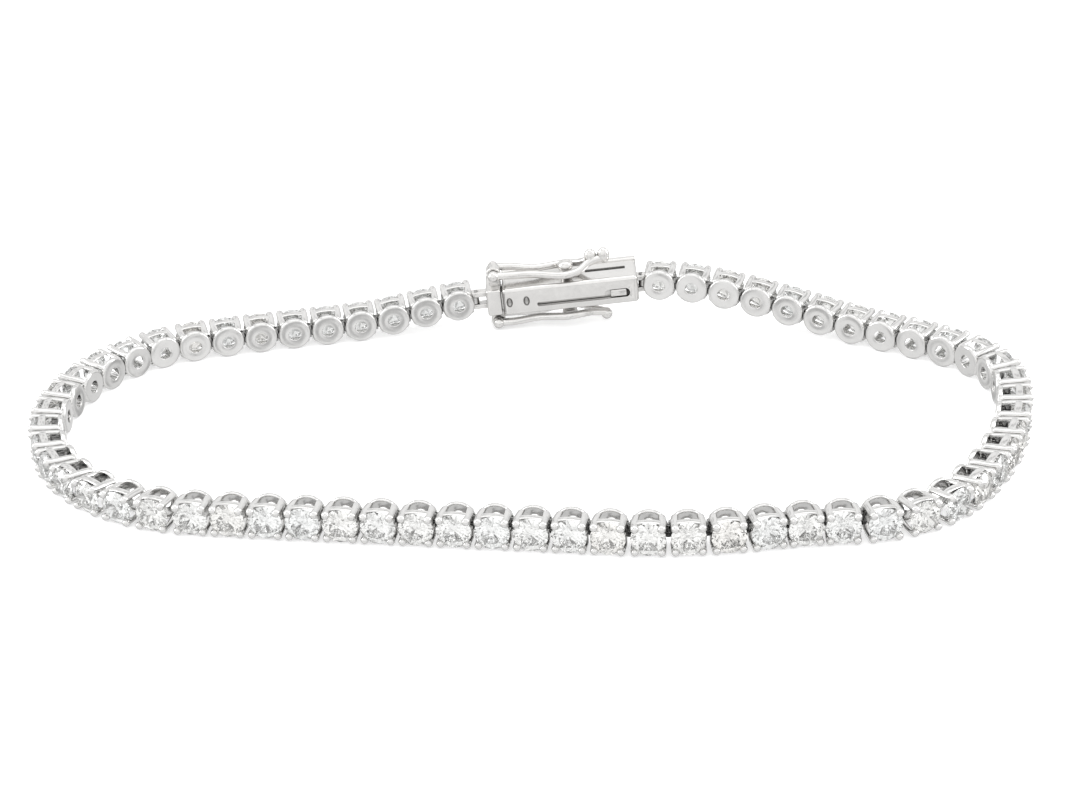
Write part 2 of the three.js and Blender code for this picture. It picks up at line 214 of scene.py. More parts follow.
class BraceletStoneSizes(PropertyGroup):
    radius: length("Stone radius", "Radius at the girdle", 1.24 * MM)
    culet: length("Culet", "How far the culet is from the hinge line", 0.29 * MM)
    girdle: length("Girdle", "How far the girdle's middle is from the hinge line", 1.28 * MM)
    girdle_thickness: length("Girdle thickness", "Height of the girdle's band", 0.05 * MM)
    table: length("Table", "How far the table is from the hinge line", 1.66 * MM)
    table_share: share("Table share", "Radius of the table as a share of the stone's", 0.56)
    star_share: share("Star share", "How far the star facets reach from table to girdle", 0.52)
    pavilion_share: share("Lower half share", "How far the lower halves reach from girdle to culet", 0.76)


class BraceletClaspSizes(PropertyGroup):
    wire_radius: length("Wire radius", "Radius of the safety catches' wire", 0.3 * MM)
    head_radius: length("Head radius", "Radius of the rounded ends of a catch's bar", 0.45 * MM)
    bar_radius: length("Bar radius", "Radius of a catch's bar in its knuckle", 0.27 * MM)


class BraceletFinishes(PropertyGroup):
    gold: colour("White gold", "Colour of the settings", (0.80, 0.795, 0.785))
    polished_gold: colour("Polished white gold", "Colour of the clasp", (0.80, 0.79, 0.775))
    gold_roughness: share("Setting roughness", "Roughness of the settings' metal", 0.14)
    polished_roughness: share("Clasp roughness", "Roughness of the clasp's metal", 0.17)
    stone: colour("Stone", "Colour of the whitest stones", (0.87, 0.88, 0.875))
    warm_stone: colour("Warm stone", "Colour of the warmest stones", (0.875, 0.86, 0.83))


class BraceletStageSettings(PropertyGroup):
    floor: colour("Floor", "Colour of the floor", (0.92, 0.92, 0.92))
    glow: FloatProperty(
        name="Floor glow", description="Light that comes up through the floor", default=0.5, min=0
    )
    room: FloatProperty(name="Room light", description="Strength of the light all round", default=1.0, min=0)
    lamps: FloatProperty(
        name="Softboxes", description="Power of the softboxes", default=1.0, min=0, unit="POWER"
    )
    elevation: FloatProperty(
        name="Camera elevation", description="Angle of the camera above the floor",
        default=math.radians(26.92), subtype="ANGLE",
    )
    roll: FloatProperty(
        name="Camera roll", description="How far the camera leans to the right",
        default=math.radians(2.1), subtype="ANGLE",
    )
    distance: length("Camera distance", "From the camera to what it is aimed at", 197.2 * MM)
    lens: FloatProperty(name="Lens", description="Focal length", default=89.37, unit="CAMERA")


class BraceletProperties(PropertyGroup):
    settings: PointerProperty(type=BraceletSettingSizes, name="Settings", description="Sizes of a link")
    stones: PointerProperty(type=BraceletStoneSizes, name="Stones", description="Sizes of a stone")
    clasp: PointerProperty(type=BraceletClaspSizes, name="Clasp", description="Sizes of the clasp")
    finishes: PointerProperty(type=BraceletFinishes, name="Finishes", description="Colours and roughness")
    stage: PointerProperty(type=BraceletStageSettings, name="Stage", description="Floor, light and camera")


# ---- places ----


def middle_of(node):
    low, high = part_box(node)
    return (low + high) / 2


def frame_between(start, end, place):
    """The frame with X from one point towards another and Y level, to the left of X."""
    x = (end - start).normalized()
    y = Vector((0, 0, 1)).cross(x).normalized()
    z = x.cross(y)
    return Matrix.Translation(place) @ Matrix((x, y, z)).transposed().to_4x4()


def strand_places():
    """The 63 hinge pins, and the frame of each link: X back along the strand, Y out of the loop."""
    hinges = [middle_of("tongue_hinge_pin")]
    links = []
    heading = FIRST_HEADING
    for count, bend, climb in ROUTE:
        for _ in range(count):
            heading += bend
            angle = math.radians(heading)
            flat = math.sqrt(PITCH**2 - climb**2)
            start = hinges[-1]
            end = start + Vector((flat * math.cos(angle), flat * math.sin(angle), climb))
            links.append(frame_between(end, start, (start + end) / 2))
            hinges.append(end)
    if (hinges[-1] - middle_of("box_hinge_pin")).length > ROUTE_SLACK:
        raise RuntimeError("the route doesn't end at the clasp's box hinge pin")
    return hinges, links


def hinge_frame(hinges, index):
    return frame_between(hinges[index + 1], hinges[index - 1], hinges[index])


def runs():
    """Each run of links: its number, and the places of its links in the strand."""
    first = 0
    for run, count in enumerate(RUN_LINKS, 1):
        yield run, range(first, first + count)
        first += count


def clasp_frame():
    start, end = middle_of("tongue_hinge_pin"), middle_of("box_hinge_pin")
    return frame_between(start, end, start), (end - start).length


# ---- shapes ----


def mesh_of(name, *builders, smooth=True):
    """A mesh from functions that each add closed shapes to a bmesh."""
    bm = bmesh.new()
    for build in builders:
        build(bm)
    bmesh.ops.recalc_face_normals(bm, faces=bm.faces)
    mesh = bpy.data.meshes.new(name)
    bm.to_mesh(mesh)
    bm.free()
    if smooth:
        mesh.shade_smooth()
        mesh.set_sharp_from_angle(angle=SHARP_ANGLE)
    return mesh


def gather(name, placed):
    """One mesh from copies of others, each moved by its own matrix."""
    bm = bmesh.new()
    for mesh, matrix in placed:
        copy = mesh.copy()
        copy.transform(matrix)
        bm.from_mesh(copy)
        bpy.data.meshes.remove(copy)
    mesh = bpy.data.meshes.new(name)
    bm.to_mesh(mesh)
    bm.free()
    return mesh


def rounded_outline(low, high, corner, steps=4):
    """The outline of a rectangle with rounded corners, in two coordinates."""
    (a0, b0), (a1, b1) = low, high
    corners = ((a1, b0, -90), (a1, b1, 0), (a0, b1, 90), (a0, b0, 180))
    points = []
    for a, b, start in corners:
        centre_a = a - corner if a == a1 else a + corner
        centre_b = b - corner if b == b1 else b + corner
        for k in range(steps + 1):
            angle = math.radians(start + 90 * k / steps)
            points.append((centre_a + corner * math.cos(angle), centre_b + corner * math.sin(angle)))
    return points


def bridge(bm, near, far, count):
    """The faces between two rings of corners. A ring can be a single point."""
    for k in range(count):
        n = k + 1
        corners = (near[k % len(near)], near[n % len(near)], far[n % len(far)], far[k % len(far)])
        bm.faces.new(tuple(dict.fromkeys(corners)))


def revolve(bm, outline, segments, closed=False, matrix=None):
    """Turns an outline of (radius, place along Y) about Y. An open outline starts and ends on the axis."""
    matrix = matrix or Matrix()
    rings = []
    for radius, along in outline:
        turns = segments if radius > 0 else 1
        angles = (2 * math.pi * k / segments for k in range(turns))
        ring = [matrix @ Vector((radius * math.cos(a), along, radius * math.sin(a))) for a in angles]
        rings.append([bm.verts.new(corner) for corner in ring])
    pairs = list(zip(rings, rings[1:]))
    if closed:
        pairs.append((rings[-1], rings[0]))
    for near, far in pairs:
        bridge(bm, near, far, segments)


def smooth_path(points, steps):
    """A Catmull-Rom curve through the points."""
    points = [Vector(p) for p in points]
    ends = [2 * points[0] - points[1], *points, 2 * points[-1] - points[-2]]
    path = []
    for before, start, end, after in zip(ends, ends[1:], ends[2:], ends[3:]):
        for k in range(steps):
            t = k / steps
            path.append(0.5 * (
                2 * start + (end - before) * t
                + (2 * before - 5 * start + 4 * end - after) * t**2
                + (3 * start - before - 3 * end + after) * t**3
            ))
    return [*path, points[-1]]


def tube(bm, path, halves, sides, across=None, dome=4):
    """A bar along a path, with domed ends. It has a half width and a half thickness for each point, and its
    width lies along a given direction."""
    path = [Vector(p) for p in path]
    tangents = [(b - a).normalized() for a, b in zip(path, path[1:])]
    tangents = [tangents[0], *((a + b).normalized() for a, b in zip(tangents, tangents[1:])), tangents[-1]]
    stations = [(point, tangent, *half) for point, tangent, half in zip(path, tangents, halves)]
    angles = [math.pi / 2 * k / dome for k in range(dome)]

    def end(station, way):
        point, tangent, wide, thick = station
        reach = min(wide, thick)
        return [
            (point + way * tangent * reach * math.cos(a), tangent, wide * math.sin(a), thick * math.sin(a))
            for a in angles
        ]

    side = across or tangents[0].orthogonal()
    rings = []
    for point, tangent, wide, thick in [*end(stations[0], -1), *stations, *reversed(end(stations[-1], 1))]:
        side = (side - tangent * side.dot(tangent)).normalized()
        up = tangent.cross(side)
        turns = sides if wide > 0 else 1
        ring = []
        for k in range(turns):
            a = 2 * math.pi * k / sides
            ring.append(bm.verts.new(point + side * wide * math.cos(a) + up * thick * math.sin(a)))
        rings.append(ring)
    for near, far in zip(rings, rings[1:]):
        bridge(bm, near, far, sides)


def soft_block(bm, low, high, edge, steps=3):
    """A block between two corners, with rounded edges."""
    low, high = Vector(low), Vector(high)
    made = bmesh.ops.create_cube(bm, size=1, matrix=Matrix.LocRotScale((low + high) / 2, None, high - low))
    edges = list(dict.fromkeys(each for corner in made["verts"] for each in corner.link_edges))
    bmesh.ops.bevel(
        bm, geom=edges, offset=edge, segments=steps, profile=0.5, affect="EDGES", clamp_overlap=True
    )


def ball(bm, centre, radii, rings=10, segments=16):
    matrix = Matrix.LocRotScale(Vector(centre), None, Vector(radii))
    bmesh.ops.create_uvsphere(bm, u_segments=segments, v_segments=rings, radius=1, matrix=matrix)


def barrel(bm, matrix, radius, low, high, bore=0.0, edge=RIM_EDGE, segments=28):
    """A round bar or tube along the matrix's Y, with rounded rims."""
    if bore:
        outline = rounded_outline((bore, low), (radius, high), edge, steps=3)
        revolve(bm, outline, segments, closed=True, matrix=matrix)
        return
    rim = [math.radians(30 * k) for k in range(4)]
    outline = [(0.0, low)]
    outline += [(radius - edge + edge * math.sin(a), low + edge - edge * math.cos(a)) for a in rim]
    outline += [(radius - edge + edge * math.cos(a), high - edge + edge * math.sin(a)) for a in rim]
    revolve(bm, [*outline, (0.0, high)], segments, matrix=matrix)


def upright(x=0.0, y=0.0, z=0.0):
    """A matrix that stands a shape's Y along Z at a place."""
    return Matrix.Translation((x, y, z)) @ Matrix.Rotation(math.pi / 2, 4, "X")


def new_object(name, data):
    """An object in the scene that holds a mesh, a lamp or a camera."""
    made = bpy.data.objects.new(name, data)
    bpy.context.scene.collection.objects.link(made)
    return made


def carve(name, solid_mesh, cutter_meshes, edge):
    """A mesh less some others, cut one after another, with the cut edges broken."""
    body = new_object(name, solid_mesh)
    tools = []
    for index, mesh in enumerate(cutter_meshes):
        tool = new_object(f"{name}_cut_{index}", mesh)
        cut = body.modifiers.new(tool.name, "BOOLEAN")
        cut.operation, cut.solver, cut.object = "DIFFERENCE", "EXACT", tool
        tools.append(tool)
    soften = body.modifiers.new("soften", "BEVEL")
    soften.width, soften.segments, soften.limit_method = edge, 2, "ANGLE"
    soften.angle_limit = BROKEN_ANGLE
    bpy.context.view_layer.update()
    result = bpy.data.meshes.new_from_object(body.evaluated_get(bpy.context.evaluated_depsgraph_get()))
    result.shade_smooth()
    result.set_sharp_from_angle(angle=SHARP_ANGLE)
    for used in (body, *tools):
        bpy.data.objects.remove(used)
    return result


# ---- finishes ----


def add_node(tree, kind, inputs=None, **settings):
    """A shader node with its settings and inputs. An input is a value, or another node's output."""
    node = tree.nodes.new(kind)
    for key, value in settings.items():
        setattr(node, key, value)
    for key, value in (inputs or {}).items():
        if isinstance(value, bpy.types.NodeSocket):
            tree.links.new(value, node.inputs[key])
        else:
            node.inputs[key].default_value = value
    return node


def mixed(tree, factor, first, second):
    """The output of a mix of two colours, each a value or another node's output."""
    inputs = {"Factor": factor, "A": first, "B": second}
    return add_node(tree, "ShaderNodeMix", inputs, data_type="RGBA").outputs["Result"]


def shaded(tint, level=1.0):
    """A socket's colour: a tint dimmed to a level."""
    return (*(channel * level for channel in tint), 1)


def new_material(name):
    material = bpy.data.materials.get(name) or bpy.data.materials.new(name)
    material.use_nodes = True
    tree = material.node_tree
    tree.nodes.clear()
    shader = add_node(tree, "ShaderNodeBsdfPrincipled")
    add_node(tree, "ShaderNodeOutputMaterial", {"Surface": shader.outputs["BSDF"]})
    return material, tree, shader


# How much of the metal's own colour is left in its tarnished patches, and under painted shade: in its nooks,
# and on faces marked for painted shade.
PATCH_SHADE = 0.86
NOOK_SHADE = 0.45
PAINTED_SHADE_LEVEL = 0.06
ROUGHNESS_SPREAD = 0.35  # how far the polish varies, as a share of the roughness


def gold_finish(name, tint, roughness, grain_stretch, nook):
    """White gold: a fine uneven polish, faint tarnish, painted shade in the nooks and on faces marked for it,
    and hairline polishing marks.
    """
    material, tree, shader = new_material(name)
    shader.inputs["Metallic"].default_value = 1.0
    place = add_node(tree, "ShaderNodeTexCoord").outputs["Object"]

    patches = add_node(tree, "ShaderNodeTexNoise", {"Vector": place, "Scale": 900.0, "Detail": 3.0})
    metal = mixed(tree, patches.outputs["Fac"], shaded(tint), shaded(tint, PATCH_SHADE))
    # Painted shade: the colour darkens to NOOK_SHADE where ambient occlusion finds the metal sheltered.
    shelter = add_node(tree, "ShaderNodeAmbientOcclusion", {"Distance": nook}, samples=8)
    openness = add_node(
        tree, "ShaderNodeMapRange", {"Value": shelter.outputs["AO"], "From Min": 0.1, "From Max": 0.6},
    )
    nook_shaded = mixed(tree, openness.outputs["Result"], shaded(tint, NOOK_SHADE), metal)
    # Painted shade: faces that carry a share in their face attribute are darkened almost to black.
    painted_shade = add_node(tree, "ShaderNodeAttribute", attribute_name="painted_shade")
    with_painted_shade = mixed(tree, painted_shade.outputs["Fac"], nook_shaded, shaded(tint, PAINTED_SHADE_LEVEL))
    tree.links.new(with_painted_shade, shader.inputs["Base Color"])

    polish = add_node(tree, "ShaderNodeTexNoise", {"Vector": place, "Scale": 3200.0, "Detail": 4.0})
    rough = add_node(
        tree, "ShaderNodeMapRange",
        {"Value": polish.outputs["Fac"], "From Min": 0.3, "From Max": 0.7,
         "To Min": roughness * (1 - ROUGHNESS_SPREAD), "To Max": roughness * (1 + ROUGHNESS_SPREAD)},
    )
    tree.links.new(rough.outputs["Result"], shader.inputs["Roughness"])

    stretched = add_node(tree, "ShaderNodeMapping", {"Vector": place, "Scale": grain_stretch})
    marks = add_node(tree, "ShaderNodeTexNoise", {"Vector": stretched.outputs["Vector"], "Scale": 9000.0})
    bump = add_node(
        tree, "ShaderNodeBump",
        {"Height": marks.outputs["Fac"], "Strength": 0.05, "Distance": 0.01 * MM},
    )
    tree.links.new(bump.outputs["Normal"], shader.inputs["Normal"])
    return material


def stone_finish(finishes):
    """Clear stone, each a little cooler or warmer than the next."""
    material, tree, shader = new_material("brilliant_stone")
    shader.inputs["Transmission Weight"].default_value = 1.0
    shader.inputs["Roughness"].default_value = 0.0
    shader.inputs["IOR"].default_value = 2.42
    tone = add_node(tree, "ShaderNodeAttribute", attribute_name="tone")
    tint = mixed(tree, tone.outputs["Fac"], shaded(finishes.stone), shaded(finishes.warm_stone))
    tree.links.new(tint, shader.inputs["Base Color"])
    return material


def setting_gold(finishes):
    return gold_finish(
        "setting_white_gold", finishes.gold, finishes.gold_roughness, grain_stretch=(1, 1, 1), nook=0.4 * MM
    )


def clasp_gold(finishes):
    return gold_finish(
        "clasp_white_gold", finishes.polished_gold, finishes.polished_roughness,
        grain_stretch=(0.12, 1, 1), nook=0.9 * MM,
    )


def paint_faces(mesh, name, values):
    """Gives each face of a mesh a value that its finish reads."""
    mesh.attributes.new(name, "FLOAT", "FACE").data.foreach_set("value", values)


def add_piece(name, mesh, material, body, node, flats=False):
    """Puts a piece on its body in place of a node of the frame. Large flats can be kept evenly shaded."""
    piece = new_object(name, mesh)
    if flats:
        piece.modifiers.new("flats", "WEIGHTED_NORMAL").keep_sharp = True
    mesh.materials.clear()
    mesh.materials.append(material)
    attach(piece, body)
    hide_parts(node)


# ---- the links ----

# A prong's middle line in one corner of a link, and its width and thickness as shares of the strip's.
PRONG_ROWS = (
    {"x": 0.88 * MM, "y": -0.48 * MM, "z": 0.8 * MM, "wide": 1.0, "thick": 1.15},
    {"x": 0.9 * MM, "y": -0.22 * MM, "z": 0.86 * MM, "wide": 1.0, "thick": 1.05},
    {"x": 0.95 * MM, "y": 0.35 * MM, "z": 0.92 * MM, "wide": 1.0, "thick": 1.0},
    {"x": 0.97 * MM, "y": 1.0 * MM, "z": 0.95 * MM, "wide": 0.95, "thick": 1.05},
    {"x": 0.95 * MM, "y": 1.26 * MM, "z": 0.94 * MM, "wide": 1.02, "thick": 1.5},
    {"x": 0.93 * MM, "y": 1.4 * MM, "z": 0.92 * MM, "wide": 1.08, "thick": 1.85},
    {"x": 0.91 * MM, "y": 1.48 * MM, "z": 0.89 * MM, "wide": 1.05, "thick": 1.85},
)
PRONG_STEPS = 3
PRONG_SIDES = 16
PRONG_LEAN = 0.25  # how far a prong's strip is turned to follow the ring
ARC_STEPS = 5  # in each rounded edge of a back ring
RAIL_STEPS = 12
RAIL_REACH = 0.9 * MM  # a gallery rail's ends are this far from its middle, inside the prongs

HINGE = {
    "radius": 0.25 * MM, "y": -0.1 * MM, "gap": 0.03 * MM, "leaf": 0.2 * MM, "half": 0.46 * MM,
    "edge": 0.035 * MM, "arm": 0.17 * MM, "reach": 0.36 * MM, "back": -0.7 * MM,
    "pin": 0.11 * MM, "pin_half": 0.51 * MM,
}
EYE = {
    "radius": 0.4 * MM, "half": 0.28 * MM, "bore": 0.2 * MM, "overlap": 0.7, "back": -0.6 * MM,
    "front": -0.02 * MM, "root": 0.98 * MM, "edge": 0.06 * MM,
}

# Shares of painted shade for the recesses where shade falls: the hinges, the cup behind a stone, the end
# links' eyes and the clasp's cuts.
PAINTED_SHADE = {"hinge": 0.55, "hinge_outward": 0.96, "cup": 0.23, "eye": 0.23, "cut": 0.42}
OUTWARD = 0.3  # a hinge's face looks out of the loop if its normal has this much of Y


def back_ring(sizes):
    """A shallow cup towards the stone: its back has a round hole and its front is a thin round rim."""
    def arc(radius, along, bend, start, end):
        angles = (math.radians(start + (end - start) * k / ARC_STEPS) for k in range(ARC_STEPS + 1))
        return [(radius + bend * math.cos(a), along + bend * math.sin(a)) for a in angles]

    outer, hole, back, edge, lip = (
        sizes.ring_radius, sizes.ring_hole, sizes.ring_back, sizes.ring_edge, sizes.ring_lip
    )
    rim = sizes.ring_rim / 2
    outline = arc(hole + lip, back + lip, lip, 180, 270)
    outline += arc(outer - edge, back + edge, edge, -90, 0)
    outline += arc(outer - rim, sizes.ring_front - rim, rim, 0, 180)
    outline += [(hole + lip / 2, back + sizes.ring_wall), (hole, back + sizes.ring_wall - lip / 2)]
    return lambda bm: revolve(bm, outline, segments=56, closed=True)


def gallery_rails(sizes):
    """Two bowed strips behind the stone, each from one prong to the next, above and below."""
    middle = (sizes.rail_back + sizes.rail_front) / 2
    half = ((sizes.rail_front - sizes.rail_back) / 2, sizes.rail_thickness / 2)
    steps = [2 * k / RAIL_STEPS - 1 for k in range(RAIL_STEPS + 1)]

    def build(bm):
        for side in SIDES:
            lifts = [side * (sizes.rail_lift - sizes.rail_bow * t**2) for t in steps]
            path = [(RAIL_REACH * t, middle, lift) for t, lift in zip(steps, lifts)]
            tube(bm, path, [half] * len(path), sides=16, across=Vector((0, 1, 0)))
    return build


def prongs(sizes):
    """Four strips from the ring, each bent over the stone's edge in a rounded claw."""
    def build(bm):
        shares = smooth_path([(row["wide"], row["thick"], 0) for row in PRONG_ROWS], PRONG_STEPS)
        halves = [(sizes.prong_width * wide, sizes.prong_thickness * thick) for wide, thick, _ in shares]
        for side_x in SIDES:
            for side_z in SIDES:
                rows = [(side_x * row["x"], row["y"], side_z * row["z"]) for row in PRONG_ROWS]
                across = Vector((1, 0, -PRONG_LEAN * side_x * side_z))
                tube(bm, smooth_path(rows, PRONG_STEPS), halves, PRONG_SIDES, across)
    return build


def link_mesh(sizes):
    return mesh_of("link", back_ring(sizes), gallery_rails(sizes), prongs(sizes))


def cup_painted_shade(link, sizes):
    """How much painted shade each face of a link gets: some inside the cup, none elsewhere."""
    floor = sizes.ring_back + sizes.ring_wall / 2
    inner = sizes.ring_radius - sizes.ring_rim
    painted_shade = []
    for face in link.polygons:
        x, y, z = face.center
        inside = floor < y < sizes.ring_front - sizes.ring_rim / 4 and math.hypot(x, z) < inner
        painted_shade.append(PAINTED_SHADE["cup"] if inside else 0.0)
    return painted_shade


def hinge_mesh():
    """The hinge between two links: a tongue from one between two ears from the other, on a pin."""
    def build(bm):
        y, gap, leaf, half = (HINGE[k] for k in ("y", "gap", "leaf", "half"))
        for low, high, side in ((gap - leaf, leaf - gap, 1), (leaf, half, -1), (-half, -leaf, -1)):
            barrel(bm, upright(0, y), HINGE["radius"], -high, -low, edge=HINGE["edge"], segments=20)
            x0, x1 = sorted((0.0, side * HINGE["reach"]))
            soft_block(bm, (x0, HINGE["back"], low), (x1, y + HINGE["arm"], high), HINGE["edge"], steps=2)
        barrel(bm, upright(0, y), HINGE["pin"], -HINGE["pin_half"], HINGE["pin_half"], segments=16)
    return mesh_of("hinge", build)


def hinge_painted_shade(hinge):
    """How much painted shade each face of a hinge gets: most where it faces out of the loop between two
    stones.
    """
    return [PAINTED_SHADE["hinge_outward" if face.normal.y > OUTWARD else "hinge"] for face in hinge.polygons]


def eye_mesh(side):
    """The eye of an end link, on a neck from its ring, around the clasp's hinge pin."""
    def build(bm):
        reach = side * PITCH / 2
        x0, x1 = sorted((reach - side * EYE["radius"] * EYE["overlap"], side * EYE["root"]))
        barrel(bm, upright(reach), EYE["radius"], -EYE["half"], EYE["half"], bore=EYE["bore"])
        soft_block(bm, (x0, EYE["back"], -EYE["half"]), (x1, EYE["front"], EYE["half"]), EYE["edge"])
    return mesh_of("eye", build)


def brilliant_mesh(sizes):
    """A round brilliant of 57 facets and a thin girdle, with its table towards +Y."""
    turn = math.pi / 8
    upper = sizes.girdle + sizes.girdle_thickness / 2
    lower = sizes.girdle - sizes.girdle_thickness / 2
    table = sizes.radius * sizes.table_share
    flat = table * math.cos(turn)
    star = flat + (sizes.radius - flat) * sizes.star_share
    crown_slope = (upper - sizes.table) / (sizes.radius - table)
    star_y = sizes.table + crown_slope * (star * math.cos(turn) - table)
    half = sizes.radius * (1 - sizes.pavilion_share)
    half_y = sizes.culet + (lower - sizes.culet) * half * math.cos(turn) / sizes.radius

    def build(bm):
        def corner(radius, step, y):
            return bm.verts.new((radius * math.cos(step * turn), y, radius * math.sin(step * turn)))

        tables = [corner(table, 2 * k, sizes.table) for k in range(8)]
        stars = [corner(star, 2 * k + 1, star_y) for k in range(8)]
        uppers = [corner(sizes.radius, k, upper) for k in range(16)]
        lowers = [corner(sizes.radius, k, lower) for k in range(16)]
        halves = [corner(half, 2 * k + 1, half_y) for k in range(8)]
        culet = bm.verts.new((0, sizes.culet, 0))
        bm.faces.new(tables)
        for k in range(8):
            n, a, b, c = (k + 1) % 8, 2 * k, 2 * k + 1, (2 * k + 2) % 16
            bm.faces.new((tables[k], tables[n], stars[k]))
            bm.faces.new((tables[k], stars[k], uppers[a], stars[k - 1]))
            bm.faces.new((stars[k], uppers[b], uppers[a]))
            bm.faces.new((stars[k], uppers[c], uppers[b]))
            bm.faces.new((halves[k], lowers[a], lowers[b]))
            bm.faces.new((halves[k], lowers[b], lowers[c]))
            bm.faces.new((culet, halves[k - 1], lowers[a], halves[k]))
            for start, end in ((a, b), (b, c)):
                bm.faces.new((uppers[start], uppers[end], lowers[end], lowers[start]))

    return mesh_of("brilliant", build, smooth=False)


class BRACELET_OT_settings(Operator):
    """Make the four-prong links of every run, with the hinges between them"""

    bl_idname = "bracelet.settings"
    bl_label = "Settings"

    def execute(self, context):
        bracelet = context.scene.bracelet
        hinges, links = strand_places()
        link, hinge = link_mesh(bracelet.settings), hinge_mesh()
        material = setting_gold(bracelet.finishes)
        ends = {0: eye_mesh(1), len(links) - 1: eye_mesh(-1)}
        # Painted shade for each face of the eyes, the hinges and the cups.
        shade_by_shape = {shape: [PAINTED_SHADE["eye"]] * len(shape.polygons) for shape in ends.values()}
        shade_by_shape[hinge] = hinge_painted_shade(hinge)
        shade_by_shape[link] = cup_painted_shade(link, bracelet.settings)
        for run, indices in runs():
            placed = []
            for index in indices:
                placed.append((link, links[index]))
                if index in ends:
                    placed.append((ends[index], links[index]))
                if index > 0:
                    placed.append((hinge, hinge_frame(hinges, index)))
            mesh = gather(f"link_run_{run}", placed)
            painted_shade = [face for shape, _ in placed for face in shade_by_shape[shape]]
            paint_faces(mesh, "painted_shade", painted_shade)
            add_piece(f"link_run_{run}", mesh, material, "bracelet", f"settings_{run}")
        return {"FINISHED"}


class BRACELET_OT_stones(Operator):
    """Make the round brilliants of every run"""

    bl_idname = "bracelet.stones"
    bl_label = "Stones"

    def execute(self, context):
        bracelet = context.scene.bracelet
        links = strand_places()[1]
        stone = brilliant_mesh(bracelet.stones)
        material = stone_finish(bracelet.finishes)
        dice = random.Random(STONE_SEED)
        for run, indices in runs():
            placed, tones = [], []
            for index in indices:
                spin = Matrix.Rotation(dice.uniform(0, math.pi / 4), 4, "Y")
                placed.append((stone, links[index] @ spin))
                tones += [dice.random() ** 2] * len(stone.polygons)
            mesh = gather(f"brilliants_{run}", placed)
            paint_faces(mesh, "tone", tones)
            add_piece(f"brilliants_{run}", mesh, material, "bracelet", f"stones_{run}")
        return {"FINISHED"}


# ---- the clasp ----


def fork(bm, pin_x, root):
    """Two ears above and below an end link's eye, on arms to x = root."""
    radius = FORK["radius"]
    x0, x1 = sorted((pin_x, root))
    for side in SIDES:
        low, high = sorted((side * FORK["low"], side * FORK["high"]))
        soft_block(bm, (x0, -radius, low), (x1, radius, high), FORK["edge"])
        barrel(bm, upright(pin_x), radius, -high, -low, edge=FORK["edge"])


def peg(bm, side):
    """A headed peg on the box's side, for a catch to snap over."""
    neck, head, under, top = (PEG[k] for k in ("neck", "head", "under", "top"))
    root = -BOX_WALL / 2
    rim = (top - under) / 2
    outline = [(0.0, root), (neck, root), (neck * PEG["waist"], under / 2), (neck, under)]
    for k in range(9):  # round the head's rim, from under it to its top
        angle = math.radians(-60 + 150 * k / 8)
        outline.append((head - rim + rim * math.cos(angle), under + rim + rim * math.sin(angle)))
    place = upright(PEG["x"], CATCH_MIDDLE, side * BOX["half"])
    if side < 0:
        place = place @ Matrix.Rotation(math.pi, 4, "X")
    revolve(bm, [*outline, (0.0, top)], segments=36, matrix=place)


def block_cutter(name, low, high, edge):
    return mesh_of(name, lambda bm: soft_block(bm, low, high, edge), smooth=False)


def slot_cutter(name, row):
    """A cutter with rounded ends that runs along Y through the box's wall on the wrist side."""
    low, high = (row["left"], row["bottom"]), (row["right"], row["top"])
    outline = rounded_outline(low, high, row["corner"], steps=5)
    through = (BOX["inner"] - BOX_WALL, BOX["inner"] + 2 * BOX_WALL)

    def build(bm):
        near, far = ([bm.verts.new((x, y, z)) for x, z in outline] for y in through)
        bm.faces.new(near)
        bm.faces.new(far)
        bridge(bm, near, far, len(outline))
    return mesh_of(name, build, smooth=False)


def dimple_cutter(index):
    """A shallow oval dimple where the box has a hallmark. It is left blank."""
    place = (HALLMARKS["first"] + index * HALLMARKS["spacing"], BOX["inner"], 0)
    radii = (HALLMARKS["width"] / 2, HALLMARKS["depth"], HALLMARKS["height"] / 2)
    return mesh_of("dimple", lambda bm: ball(bm, place, radii, rings=12, segments=20), smooth=False)


def clasp_box_mesh(span):
    """The hollow box with its cuts, and on it the cover plate, the fork for the last link and two pegs."""
    left, right, inner, outer, half = (BOX[k] for k in ("left", "right", "inner", "outer", "half"))
    low, high = (left, inner, -half), (right, outer, half)
    shell = mesh_of("shell", lambda bm: soft_block(bm, low, high, BOX_EDGE, steps=4))
    cavity = block_cutter(
        "cavity", (left - BOX_WALL, inner + BOX_WALL, BOX_WALL - half),
        (right - BOX_WALL, outer - BOX_WALL, half - BOX_WALL), CAVITY_EDGE,
    )
    slit = block_cutter(
        "slit", (SLIT["left"], SLIT["inner"], half - SLIT["depth"]),
        (SLIT["right"], SLIT["outer"], half * 2), SLIT["edge"],
    )
    marks = [dimple_cutter(index) for index in range(HALLMARKS["count"])]
    cutters = [cavity, slot_cutter("slot", SLOT), slot_cutter("window", WINDOW), slit, *marks]
    body = carve("clasp_body", shell, cutters, CUT_EDGE)

    def fittings(bm):
        low, high = (left, COVER["inner"], -COVER["half"]), (right, COVER["outer"], COVER["half"])
        soft_block(bm, low, high, COVER["edge"], steps=4)
        fork(bm, span, right - BOX_WALL)
        for side in SIDES:
            peg(bm, side)
    return gather("clasp_box", [(body, Matrix()), (mesh_of("fittings", fittings), Matrix())])


